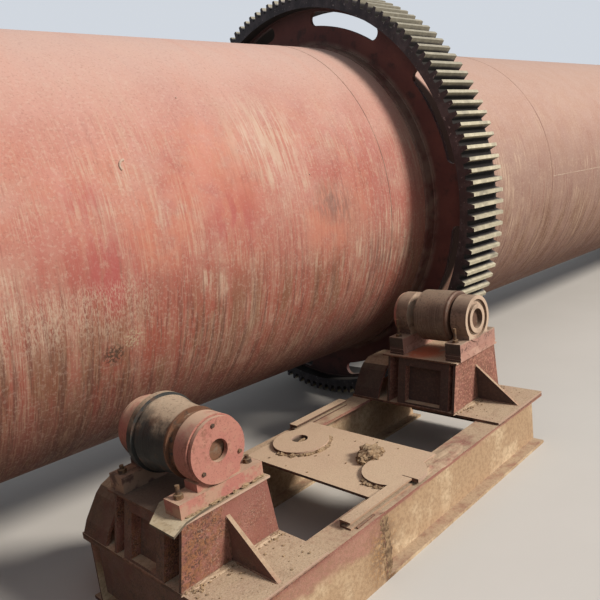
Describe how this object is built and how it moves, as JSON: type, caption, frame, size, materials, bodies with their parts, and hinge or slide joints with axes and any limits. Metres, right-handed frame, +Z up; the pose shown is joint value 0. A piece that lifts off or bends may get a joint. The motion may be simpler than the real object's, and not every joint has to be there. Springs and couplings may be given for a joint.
{
  "type": "rotary drum dryer",
  "caption": "Long steel drum with a girth gear and riding rings lying on the ground, beside a low frame with support rollers in bearing housings.",
  "frame": {"origin": "middle of the whole part's footprint, on the ground", "axes": "+X along the drum's axis to the right, +Y away from the viewer, from the roller station to the drum, +Z up"},
  "size_m": [15.08, 3.13, 2.6899],
  "materials": {
    "shell_paint": "chalky",
    "gear_steel": "greasy",
    "ring_steel": "worn",
    "frame_paint": "rusty",
    "roller_steel": "worn",
    "housing_cast": "painted",
    "plate_rust": "rusty"
  },
  "bodies": {
    "plant": {"arch_plate_left": "frame_paint", "arch_plate_right": "frame_paint", "bearing_cover_left_far": "housing_cast", "bearing_cover_left_near": "housing_cast", "bearing_cover_right_far": "housing_cast", "cross_plate": "plate_rust", "end_channel_left": "frame_paint", "end_channel_right": "frame_paint", "end_ring_left": "shell_paint", "end_ring_right": "shell_paint", "foot_plate_left": "plate_rust", "foot_plate_right": "plate_rust", "frame_beam_far": "frame_paint", "frame_beam_near": "frame_paint", "gear_collar": "shell_paint", "gear_ring_lower": "gear_steel", "gear_ring_upper": "gear_steel", "gear_web": "shell_paint", "gusset_left": "frame_paint", "gusset_right": "frame_paint", "housing_left_far": "housing_cast", "housing_left_near": "housing_cast", "housing_right_far": "housing_cast", "housing_right_near": "housing_cast", "lifting_flight_1": "shell_paint", "lifting_flight_2": "shell_paint", "lifting_flight_3": "shell_paint", "lifting_flight_4": "shell_paint", "lifting_flight_5": "shell_paint", "lifting_flight_6": "shell_paint", "loose_bar_far": "plate_rust", "loose_bar_near": "plate_rust", "pedestal_column_left": "frame_paint", "pedestal_column_right": "frame_paint", "pedestal_wall_left_far": "frame_paint", "pedestal_wall_left_near": "frame_paint", "pedestal_wall_right_far": "frame_paint", "pedestal_wall_right_near": "frame_paint", "riding_ring_left": "ring_steel", "riding_ring_right": "ring_steel", "ring_seat_left": "shell_paint", "ring_seat_right": "shell_paint", "shell_gear_course": "shell_paint", "shell_left_section": "shell_paint", "shell_right_section": "shell_paint", "shim_pack_right_far": "plate_rust", "shim_pack_right_near": "plate_rust", "skewed_plate_left": "plate_rust", "thrust_disc_far": "plate_rust", "thrust_disc_near": "plate_rust", "top_plate_left": "plate_rust", "top_plate_right": "plate_rust", "web_box_plate": "frame_paint"},
    "left_roller": {"roller_left": "roller_steel"},
    "right_roller": {"roller_right": "roller_steel"}
  },
  "joints": [
    {"name": "left_roller_spin", "type": "hinge", "parent": "plant", "child": "left_roller", "pos_m": [-3.54734, -1.10352, 0.7], "axis": [-0.0534, 0.9986, 0], "continuous": true},
    {"name": "right_roller_spin", "type": "hinge", "parent": "plant", "child": "right_roller", "pos_m": [-1.83878, -1.01219, 0.732], "axis": [-0.0534, 0.9986, 0], "continuous": true}
  ]
}
